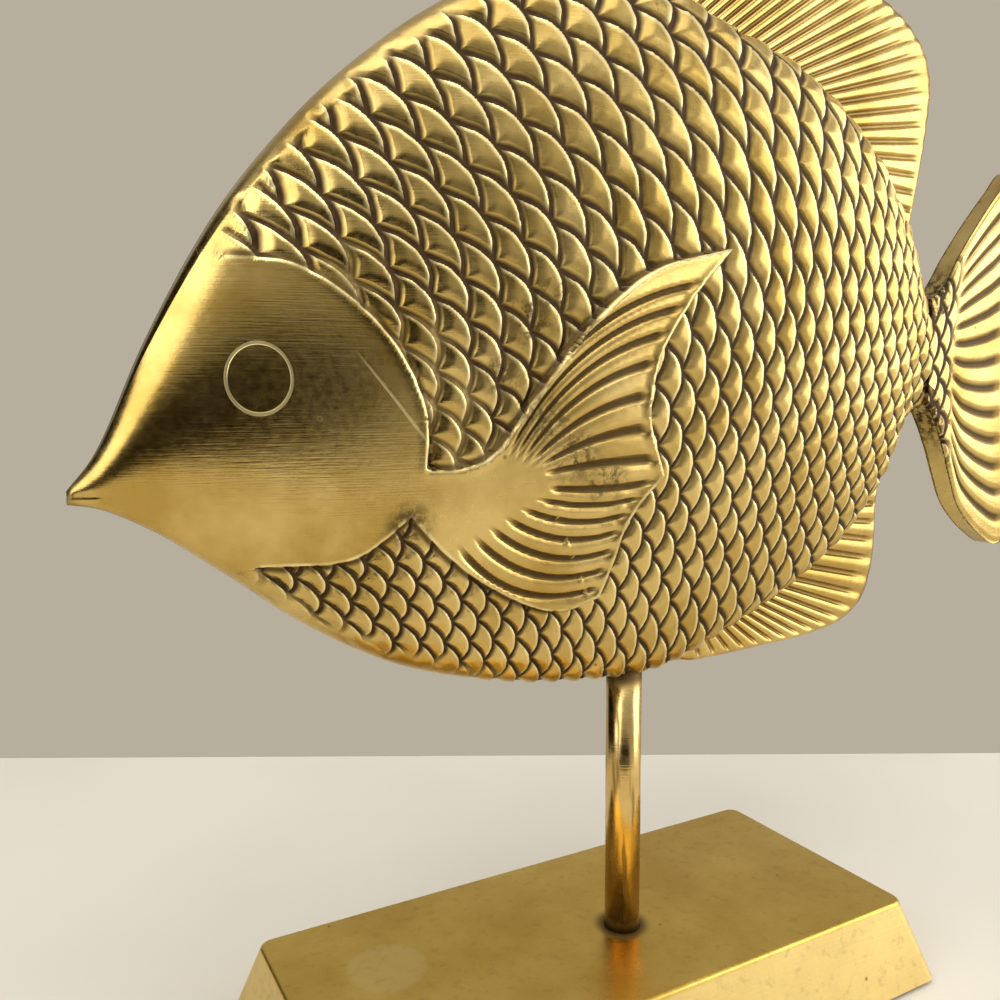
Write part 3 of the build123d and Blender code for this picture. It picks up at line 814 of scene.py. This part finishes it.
def brass_surface(tree, surface, dark, light, polish, grime_and_shade, wear_and_highlight=0.0, height=0.0, height_share=0.0):
    """Colour, gloss and bump of brass: brown where patina gathers and where shade is painted, pale and
    bright where it rubs and where highlights are painted.

    It gives back its roughness, for a piece that is polished unevenly.
    """
    place = add_node(tree, "TexCoord").outputs["Object"]
    cloud = add_node(
        tree, "TexNoise", {"Vector": place, "Scale": 1 / cloud_size, "Detail": 4, "Roughness": 0.6}
    )
    pits = add_node(
        tree, "TexNoise", {"Vector": place, "Scale": 1 / pit_size, "Detail": 3, "Roughness": 0.6}
    )
    # Scratches of the polishing wheel run level along the fish. The turn hides the noise's own grid
    wheel = add_node(tree, "Mapping", {
        "Vector": place, "Rotation": (0, 0.7, 0),
        "Scale": (1 / scratch_length, 1 / scratch_length, 1 / scratch_width),
    })
    scratch = add_node(tree, "TexNoise", {"Vector": wheel.outputs[0], "Scale": 1, "Detail": 2})
    # Brown specks up to 1 mm across, in about a fifth of the cells of a loose net
    cells = add_node(tree, "TexVoronoi", {"Vector": place, "Scale": 1 / speck_spacing})
    spot = add_node(tree, "MapRange", {0: cells.outputs["Distance"], 1: 0.02, 2: 0.09, 3: 0.75, 4: 0.0})
    chance = add_node(tree, "SeparateXYZ", {0: cells.outputs["Color"]})
    kept = add_node(tree, "Math", {0: chance.outputs[0], 1: 0.8}, operation="GREATER_THAN")
    speck = add_node(tree, "Math", {0: spot.outputs[0], 1: kept.outputs[0]}, operation="MULTIPLY")
    soil_and_shade = add_node(tree, "Math", {0: grime_and_shade, 1: speck.outputs[0]}, operation="MAXIMUM").outputs[0]

    # Colour: two golds in soft clouds, then the rubbed places and painted highlights, then the brown soil
    # and painted shade
    tone = add_node(tree, "MapRange", {0: cloud.outputs[0], 1: 0.35, 2: 0.68, 3: 0.0, 4: 1.0})
    gold = add_node(
        tree, "Mix", {0: tone.outputs[0], 6: linear(dark), 7: linear(light)}, data_type="RGBA"
    )
    rubbed = add_node(tree, "Mix", {0: wear_and_highlight, 6: gold.outputs[2], 7: linear("#F1E0A6")}, data_type="RGBA")
    brown = add_node(
        tree, "Mix", {0: pits.outputs[0], 6: linear("#1A1006"), 7: linear("#543A14")}, data_type="RGBA"
    )
    colour = add_node(
        tree, "Mix", {0: soil_and_shade, 6: rubbed.outputs[2], 7: brown.outputs[2]}, data_type="RGBA"
    )
    tree.links.new(colour.outputs[2], surface.inputs["Base Color"])

    # Gloss: rubbed edges, painted highlights, brown soil and painted shade are duller, and soil and
    # painted shade are less metallic
    gloss = add_node(tree, "MapRange", {0: pits.outputs[0], 1: 0.3, 2: 0.7, 3: polish, 4: polish + 0.1})
    worn = add_node(tree, "Mix", {0: wear_and_highlight, 2: gloss.outputs[0], 3: worn_roughness}, data_type="FLOAT")
    soiled = add_node(tree, "Mix", {0: soil_and_shade, 2: worn.outputs[0], 3: soil_roughness}, data_type="FLOAT")
    tree.links.new(soiled.outputs[0], surface.inputs["Roughness"])
    metal = add_node(tree, "MapRange", {0: soil_and_shade, 1: 0.0, 2: 1.0, 3: 1.0, 4: soil_metal})
    tree.links.new(metal.outputs[0], surface.inputs["Metallic"])

    # Bump: fine pits and scratches, and the cut lines
    pitted = add_node(tree, "Math", {0: pits.outputs[0], 1: fine_bump}, operation="MULTIPLY")
    scratched = add_node(
        tree, "Math", {0: scratch.outputs[0], 1: fine_bump, 2: pitted.outputs[0]},
        operation="MULTIPLY_ADD"
    )
    whole = add_node(
        tree, "Math", {0: height, 1: height_share, 2: scratched.outputs[0]}, operation="MULTIPLY_ADD"
    )
    bump = add_node(tree, "Bump", {"Height": whole.outputs[0], "Distance": bump_depth, "Strength": 1.0})
    tree.links.new(bump.outputs[0], surface.inputs["Normal"])
    return soiled.outputs[0]


def past_edge_nodes(tree, along, across, side):
    """The same rule for one row of scales as past_free_edge, as nodes."""
    floor = add_node(tree, "Math", {0: across}, operation="FLOOR")
    row = add_node(tree, "Math", {0: floor.outputs[0], 1: side}, operation="ADD")
    off = add_node(tree, "Math", {0: across, 1: row.outputs[0]}, operation="SUBTRACT")
    bow = add_node(tree, "Math", {0: off.outputs[0], 1: off.outputs[0], 2: -1.0}, operation="MULTIPLY_ADD")
    odd = add_node(tree, "Math", {0: row.outputs[0], 1: 1.0}, operation="PINGPONG")
    bowed = add_node(tree, "Math", {0: along, 1: bow.outputs[0]}, operation="ADD")
    from_row = add_node(tree, "Math", {0: bowed.outputs[0], 1: odd.outputs[0]}, operation="SUBTRACT")
    half = add_node(tree, "Math", {0: from_row.outputs[0], 1: 0.5}, operation="MULTIPLY")
    turn = add_node(tree, "Math", {0: half.outputs[0]}, operation="FRACT")
    return add_node(tree, "Math", {0: turn.outputs[0], 1: 2.0}, operation="MULTIPLY").outputs[0]


def chased_brass():
    """Cast brass, chased with a graver and polished: rubbed scales with brown patina between them, and
    painted shade and painted highlights.
    """
    material, tree, surface = new_material("chased_cast_brass")
    place = add_node(tree, "TexCoord").outputs["Object"]
    split = {}
    for name in ("scale_grid", "ray_grid", "marks", "fine_lines"):
        layer = add_node(tree, "Attribute", attribute_name=name)
        split[name] = add_node(tree, "SeparateXYZ", {0: layer.outputs["Vector"]}).outputs
    along, across, groove_width = split["scale_grid"]
    ray_count, ray_shown, patina_and_root_shade = split["ray_grid"]
    scaled, inside, from_seam = split["marks"]
    from_ring, from_crease, crease_shown = split["fine_lines"]

    # The hand-cut grooves waver a little along their way, and the patina is pitted
    waver = add_node(tree, "TexNoise", {"Vector": place, "Scale": 1 / waver_size, "Detail": 1})
    pitting = add_node(
        tree, "TexNoise", {"Vector": place, "Scale": 1 / patina_spot, "Detail": 4, "Roughness": 0.7}
    )
    shifted = add_node(tree, "Math", {0: waver.outputs[0], 1: 0.22, 2: along}, operation="MULTIPLY_ADD")
    first = past_edge_nodes(tree, shifted.outputs[0], across, 0.0)
    second = past_edge_nodes(tree, shifted.outputs[0], across, 1.0)
    past = add_node(tree, "Math", {0: first, 1: second}, operation="MINIMUM")
    latest = add_node(tree, "Math", {0: first, 1: second}, operation="MAXIMUM")
    in_groove = add_node(tree, "Math", {0: past.outputs[0], 1: groove_width}, operation="DIVIDE")
    # Grooves between the rays of a fin lie at its whole counts
    whole = add_node(tree, "Math", {0: ray_count}, operation="ROUND")
    apart = add_node(tree, "Math", {0: ray_count, 1: whole.outputs[0]}, operation="SUBTRACT")
    off_ray = add_node(tree, "Math", {0: apart.outputs[0]}, operation="ABSOLUTE")
    off_ring = add_node(tree, "Math", {0: from_ring}, operation="ABSOLUTE")
    off_crease = add_node(tree, "Math", {0: from_crease}, operation="ABSOLUTE")

    # Soft steps: what each follows, where it starts and ends, and its value at both
    steps = {
        "groove": (in_groove.outputs[0], 0.40, 1.0, 1.0, 0.0),
        "on_flank": (inside, -0.45, -0.15, 1.0, 0.0),
        "ray": (off_ray.outputs[0], 0.06, 0.22, 0.9, 0.0),
        # Painted shadow on the flank at the foot of the step round cheek and fin, weaker where the flank
        # is not scaled
        "foot": (inside, -2.2, -0.9, 0.0, 0.85),
        "foot_shade_scaled": (scaled, 0.0, 0.8, 0.1, 1.0),
        # Brazing residue along the seam, with painted shade darkening the rim
        "seam_residue_and_rim_shade": (from_seam, 0.4, 2.0, 0.7, 0.0),
        "pitted": (pitting.outputs[0], 0.42, 0.60, 0.15, 0.8),
        # The free edge of each scale, rubbed bright, with a painted highlight
        "scale_edge_rub_and_highlight": (latest.outputs[0], 1.70, 1.95, 0.0, 0.8),
        # The edge of cheek and fin, rubbed bright, with a painted highlight
        "edge_high": (inside, 0.1, 0.7, 1.0, 0.0),
        "edge_low": (inside, -0.25, -0.05, 0.0, 1.0),
        "uneven": (waver.outputs[0], 0.35, 0.6, 0.45, 1.0),
        "ring": (off_ring.outputs[0], 0.35, 0.8, 1.0, 0.0),
        "crease": (off_crease.outputs[0], 0.3, 1.2, 0.7, 0.0),
        "head_polish": (from_ring, 20.0, 110.0, 0.7, 1.0),
    }
    soft = {}
    for name, (source, low, high, at_low, at_high) in steps.items():
        step = add_node(
            tree, "MapRange", {0: source, 1: low, 2: high, 3: at_low, 4: at_high},
            interpolation_type="SMOOTHSTEP"
        )
        soft[name] = step.outputs[0]

    # Marks: the steps and shares that each is the product of. Patina lies in the grooves and in pitted
    # patches, which at the roots of fin and tail hold painted shade too. Painted shade lies at the foot of
    # the step round cheek and fin, and on the rim along the brazed seam, with the seam's residue. The free
    # edge of each scale and the edge of cheek and fin are rubbed bright with a painted highlight, and the
    # fine cut lines are rubbed bright
    products = {
        "scale_groove": (soft["groove"], scaled, soft["on_flank"]),
        "ray_groove": (soft["ray"], ray_shown),
        # Painted shadow at the foot of the step round cheek and fin
        "foot": (soft["foot"], soft["on_flank"], soft["foot_shade_scaled"]),
        # Pitted patina, with painted shade at the roots of fin and tail
        "patina_and_root_shade": (soft["pitted"], patina_and_root_shade),
        # Rubbed free edges of the scales, with a painted highlight
        "scale_edge_rub_and_highlight": (soft["scale_edge_rub_and_highlight"], scaled, soft["on_flank"]),
        # Rubbed edge of cheek and fin, with a painted highlight
        "outline": (soft["edge_high"], soft["edge_low"], soft["uneven"]),
        "crease": (soft["crease"], crease_shown),
    }
    marks = {}
    for name, (product, *factors) in products.items():
        for factor in factors:
            product = add_node(tree, "Math", {0: product, 1: factor}, operation="MULTIPLY").outputs[0]
        marks[name] = product
    cut = add_node(tree, "Math", {0: marks["scale_groove"], 1: marks["ray_groove"]}, operation="MAXIMUM")
    drawn = add_node(tree, "Math", {0: soft["ring"], 1: marks["crease"]}, operation="MAXIMUM")
    # Brown: patina in the grooves and pitted patches, and painted shade at the foot of the step, on the
    # rim and at the roots of fin and tail
    grime_and_shade = cut.outputs[0]
    for mark in (marks["foot"], soft["seam_residue_and_rim_shade"], marks["patina_and_root_shade"]):
        grime_and_shade = add_node(tree, "Math", {0: grime_and_shade, 1: mark}, operation="MAXIMUM").outputs[0]
    # Pale: the rubbed cut lines, and the free edges of the scales and the edge of cheek and fin, rubbed
    # bright with a painted highlight
    wear_and_highlight = drawn.outputs[0]
    for mark in (marks["scale_edge_rub_and_highlight"], marks["outline"]):
        wear_and_highlight = add_node(tree, "Math", {0: wear_and_highlight, 1: mark}, operation="MAXIMUM").outputs[0]
    ground = add_node(tree, "Math", {0: drawn.outputs[0], 1: -0.15, 2: 1.0}, operation="MULTIPLY_ADD")
    height = add_node(tree, "Math", {0: ground.outputs[0], 1: cut.outputs[0]}, operation="SUBTRACT")
    gloss = brass_surface(
        tree, surface, dark="#B3944C", light="#DABE79", polish=0.26, grime_and_shade=grime_and_shade, wear_and_highlight=wear_and_highlight,
        height=height.outputs[0], height_share=0.6
    )
    # The head is polished smoother than the rest, most of all round the eye
    smoother = add_node(tree, "Math", {0: gloss, 1: soft["head_polish"]}, operation="MULTIPLY")
    tree.links.new(smoother.outputs[0], surface.inputs["Roughness"])
    return material


def drawn_bar_brass():
    """Drawn brass bar, hand polished: bright, with brown residue where it is brazed and bolted."""
    material, tree, surface = new_material("drawn_brass_bar")
    place = add_node(tree, "TexCoord").outputs["Object"]
    level = add_node(tree, "SeparateXYZ", {0: place}).outputs[2]
    # Stains run along the bar, as it was drawn
    drawn = add_node(tree, "Mapping", {
        "Vector": place, "Scale": (1 / stain_width, 1 / stain_width, 1 / stain_length)
    })
    stain = add_node(tree, "TexNoise", {"Vector": drawn.outputs[0], "Scale": 1, "Detail": 2})
    # What each brown mark follows, where it starts and ends, and its value at both
    residues = [
        (level, base_top + 0.5 * mm, base_top + 4.0 * mm, 0.9, 0.0),
        (level, belly_level - 4.0 * mm, belly_level, 0.0, 0.8),
        (stain.outputs[0], 0.52, 0.68, 0.0, 0.55),
    ]
    grime_and_shade = 0.0
    for source, low, high, at_low, at_high in residues:
        step = add_node(
            tree, "MapRange", {0: source, 1: low, 2: high, 3: at_low, 4: at_high},
            interpolation_type="SMOOTHSTEP"
        )
        grime_and_shade = add_node(tree, "Math", {0: grime_and_shade, 1: step.outputs[0]}, operation="MAXIMUM").outputs[0]
    brass_surface(tree, surface, dark="#C79F55", light="#E3C888", polish=0.16, grime_and_shade=grime_and_shade)
    return material


def satin_base_brass():
    """Cast brass ground flat and rubbed to a satin: mottled gold with a stained ring at the stem."""
    material, tree, surface = new_material("satin_cast_brass")
    place = add_node(tree, "TexCoord").outputs["Object"]
    level = add_node(tree, "SeparateXYZ", {0: place}).outputs[2]
    foot = add_node(tree, "VectorMath", {0: place, 1: (stem_x, 0, base_top)}, operation="DISTANCE")
    rubbed = add_node(tree, "VectorMath", {0: place, 1: rubbed_patch}, operation="DISTANCE")
    mottle = add_node(
        tree, "TexNoise", {"Vector": place, "Scale": 1 / mottle_size, "Detail": 5, "Roughness": 0.65}
    )
    # Soft steps: what each follows, where it starts and ends, and its value at both. The sloping sides
    # are ground matt and made paler by a painted highlight, and the top is smoother
    steps = {
        "ring": (foot.outputs["Value"], stem_radius + 0.3 * mm, stem_radius + 4 * mm, 0.85, 0.0),
        "mottle": (mottle.outputs[0], 0.50, 0.78, 0.0, 0.28),
        "rubbed": (rubbed.outputs["Value"], 0.9 * rubbed_radius, 1.1 * rubbed_radius, 0.2, 0.0),
        "sides": (level, base_top - 1.5 * mm, base_top - 0.5 * mm, 0.45, 0.0),
    }
    soft = {}
    for name, (source, low, high, at_low, at_high) in steps.items():
        step = add_node(
            tree, "MapRange", {0: source, 1: low, 2: high, 3: at_low, 4: at_high},
            interpolation_type="SMOOTHSTEP"
        )
        soft[name] = step.outputs[0]
    grime_and_shade = add_node(tree, "Math", {0: soft["ring"], 1: soft["mottle"]}, operation="MAXIMUM")
    # Paler: the rubbed patch on the top, and the painted highlight on the sloping sides
    rubbed_and_highlit = add_node(tree, "Math", {0: soft["rubbed"], 1: soft["sides"]}, operation="MAXIMUM")
    gloss = brass_surface(
        tree, surface, dark="#CDA64A", light="#E0BC60", polish=0.26, grime_and_shade=grime_and_shade.outputs[0],
        wear_and_highlight=rubbed_and_highlit.outputs[0]
    )
    matt = add_node(tree, "Math", {0: gloss, 1: soft["sides"]}, operation="MAXIMUM")
    tree.links.new(matt.outputs[0], surface.inputs["Roughness"])
    return material


def turned_brass():
    """Brass turned on a lathe and never polished: plain gold, a little dull, under a brown film."""
    material, tree, surface = new_material("turned_brass")
    place = add_node(tree, "TexCoord").outputs["Object"]
    tarnish = add_node(tree, "TexNoise", {"Vector": place, "Scale": 1 / tarnish_size, "Detail": 4})
    film = add_node(
        tree, "MapRange", {0: tarnish.outputs[0], 1: 0.5, 2: 0.75, 3: 0.0, 4: 0.4},
        interpolation_type="SMOOTHSTEP"
    )
    brass_surface(tree, surface, dark="#A9833E", light="#C9A55C", polish=0.3, grime_and_shade=film.outputs[0])
    return material


def felt():
    """Pressed wool felt: matt and dark, with no shine and a faint nap."""
    material, tree, surface = new_material("pressed_wool_felt")
    place = add_node(tree, "TexCoord").outputs["Object"]
    nap = add_node(tree, "TexNoise", {"Vector": place, "Scale": 1 / nap_size, "Detail": 3})
    colour = add_node(
        tree, "Mix", {0: nap.outputs[0], 6: linear("#1C2A1E"), 7: linear("#31432F")}, data_type="RGBA"
    )
    tree.links.new(colour.outputs[2], surface.inputs["Base Color"])
    surface.inputs["Roughness"].default_value = 0.95
    bump = add_node(tree, "Bump", {"Height": nap.outputs[0], "Distance": nap_depth})
    tree.links.new(bump.outputs[0], surface.inputs["Normal"])
    return material


def carry_over(node, material):
    """Gives a CAD node that stays its finish."""
    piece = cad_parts[node]
    piece.data.materials.clear()
    piece.data.materials.append(material)


def stem_piece(material):
    """The stem as a turned bar, with a reduced stud on each end."""
    profile = [
        (stud_radius, stem_low.z), (stud_radius, socket_z), (stem_radius, socket_z),
        (stem_radius, belly_level + stem_cover), (stud_radius, belly_level + stem_cover),
        (stud_radius, stem_high.z),
    ]
    bar = bmesh.new()
    ring = [bar.verts.new((stem_x + radius, 0, level)) for radius, level in profile]
    edges = [bar.edges.new(pair) for pair in zip(ring[:-1], ring[1:])]
    bmesh.ops.spin(
        bar, geom=ring + edges, cent=(stem_x, 0, 0), axis=(0, 0, 1), angle=2 * pi, steps=bar_facets,
        use_merge=True
    )
    bmesh.ops.remove_doubles(bar, verts=bar.verts, dist=merge_distance)
    open_edges = [edge for edge in bar.edges if edge.is_boundary]
    bmesh.ops.holes_fill(bar, edges=open_edges, sides=0)
    bmesh.ops.recalc_face_normals(bar, faces=bar.faces)
    for face in bar.faces:
        face.smooth = len(face.verts) == 4 and abs(face.normal.z) < 0.5
    mesh = bpy.data.meshes.new("stem_bar")
    bar.to_mesh(mesh)
    bar.free()
    new_piece(mesh, material, "stem")


chased = chased_brass()
body_skin("left_body_skin", -1, chased)
body_skin("right_body_skin", 1, chased)
fin_piece(
    "dorsal_fin_cast", dorsal_shares, dorsal_root_shares, dorsal_lean, dorsal_span, dorsal_rays,
    chased, "dorsal_fin"
)
fin_piece(
    "anal_fin_cast", anal_shares, anal_root_shares, anal_lean, anal_span, anal_rays, chased, "anal_fin"
)
tail_piece("tail_fin_cast", chased)
stem_piece(drawn_bar_brass())
carry_over("base", satin_base_brass())
fitting_brass = turned_brass()
for fitting in ("belly_boss", "base_washer", "base_nut"):
    carry_over(fitting, fitting_brass)
carry_over("felt_pad", felt())

# The photo's camera, as fitted to the straight edges of base and stem
view_turn = radians(-28.70)
view_tilt = radians(5.73)
view_roll = radians(-0.295)
camera_place = Vector((-137.2, -192.6, 164.8)) * mm
focal_length = 32.75
film_width = 36
view_ahead = Vector((-sin(view_turn), cos(view_turn), 0))

# Stage: a pale table whose far edge lies square to the view, before a plain pale room
table_near = -280 * mm
table_far = 420 * mm
table_width = 4.0


def table_paint():
    """Matt white paint: one pale colour, with faint hand-sized clouds of a darker shade."""
    material, tree, surface = new_material("white_table_paint")
    place = add_node(tree, "TexCoord").outputs["Object"]
    mottle = add_node(tree, "TexNoise", {"Vector": place, "Scale": 1 / table_cloud_size, "Detail": 2})
    share = add_node(
        tree, "MapRange", {0: mottle.outputs[0], 1: 0.3, 2: 0.7, 3: 0.0, 4: 0.3},
        interpolation_type="SMOOTHSTEP"
    )
    colour = add_node(
        tree, "Mix", {0: share.outputs[0], 6: linear("#E8E2D4"), 7: linear("#DAD2C0")}, data_type="RGBA"
    )
    tree.links.new(colour.outputs[2], surface.inputs["Base Color"])
    surface.inputs["Roughness"].default_value = 0.8
    return material


table_middle = camera_place + view_ahead * (table_near + table_far) / 2
table_middle.z = 0
table_place = Matrix.Translation(table_middle) @ Matrix.Rotation(view_turn, 4, "Z")
board = bmesh.new()
bmesh.ops.create_grid(board, x_segments=1, y_segments=1, size=0.5)
bmesh.ops.scale(board, verts=board.verts, vec=(table_width, table_far - table_near, 1))
bmesh.ops.transform(board, verts=board.verts, matrix=table_place)
table_mesh = bpy.data.meshes.new("table_top")
board.to_mesh(table_mesh)
board.free()
table_mesh.materials.append(table_paint())
table_top = bpy.data.objects.new("table_top", table_mesh)
bpy.context.scene.collection.objects.link(table_top)

# Camera
camera = bpy.data.objects.new("camera", bpy.data.cameras.new("camera"))
bpy.context.scene.collection.objects.link(camera)
turn = Matrix.Rotation(view_turn, 4, "Z") @ Matrix.Rotation(pi / 2 - view_tilt, 4, "X")
camera.matrix_world = Matrix.Translation(camera_place) @ turn @ Matrix.Rotation(view_roll, 4, "Z")
camera.data.lens = focal_length
camera.data.sensor_width = film_width
camera.data.clip_start = 10 * mm
bpy.context.scene.camera = camera

# Lights
fish_middle = Vector((0.0, 0.0, 0.18))


def soft_lamp(name, place, size, power):
    lamp = bpy.data.objects.new(name, bpy.data.lights.new(name, "AREA"))
    bpy.context.scene.collection.objects.link(lamp)
    lamp.data.shape = "RECTANGLE"
    lamp.data.size, lamp.data.size_y = size
    lamp.data.energy = power
    lamp.location = place
    lamp.rotation_euler = (fish_middle - Vector(place)).to_track_quat("-Z", "Y").to_euler()


soft_lamp("window_left", (-1.0, -0.3, 0.7), (0.8, 0.9), 5.5)
soft_lamp("ceiling", (-0.05, -0.35, 1.3), (1.3, 1.1), 9.2)
soft_lamp("window_right", (1.1, -0.7, 0.5), (1.1, 0.95), 10)

# The room is pale and even, but for two dark stretches: a low one in front of the fish, which gives
# its head a brown reflection, and one behind it on the left, which darkens the forehead's rim.
# Each has a direction, how much it is flattened, and how far it reaches fully dark and at most
dark_stretches = [
    (Vector((-0.50, -0.87, -0.04)), 1.9, radians(26), radians(43)),
    (Vector((-0.80, 0.50, 0.36)), 1.0, radians(24), radians(40)),
]
world = bpy.data.worlds.new("room")
bpy.context.scene.world = world
world.use_nodes = True
room_tree = world.node_tree
room = room_tree.nodes["Background"]
toward = add_node(room_tree, "TexCoord").outputs["Generated"]
dark_part = 0.0
for aim, flatness, inner, outer in dark_stretches:
    taller = add_node(room_tree, "VectorMath", {0: toward, 1: (1, 1, flatness)}, operation="MULTIPLY")
    level = add_node(room_tree, "VectorMath", {0: taller.outputs[0]}, operation="NORMALIZE")
    facing = add_node(
        room_tree, "VectorMath", {0: level.outputs[0], 1: aim.normalized()}, operation="DOT_PRODUCT"
    )
    stretch = add_node(
        room_tree, "MapRange",
        {0: facing.outputs["Value"], 1: cos(outer), 2: cos(inner), 3: 0.0, 4: 1.0},
        interpolation_type="SMOOTHSTEP"
    )
    darker = add_node(room_tree, "Math", {0: dark_part, 1: stretch.outputs[0]}, operation="MAXIMUM")
    dark_part = darker.outputs[0]
room_tone = add_node(
    room_tree, "Mix", {0: dark_part, 6: linear("#EFEBE2"), 7: linear("#21170E")}, data_type="RGBA"
)
# The camera itself sees a plain pale tone all round
seen = add_node(room_tree, "LightPath").outputs["Is Camera Ray"]
room_seen = add_node(
    room_tree, "Mix", {0: seen, 6: room_tone.outputs[2], 7: linear("#EDE2CC")}, data_type="RGBA"
)
room_tree.links.new(room_seen.outputs[2], room.inputs["Color"])
room.inputs["Strength"].default_value = 0.56

bpy.context.scene.view_settings.view_transform = "Standard"
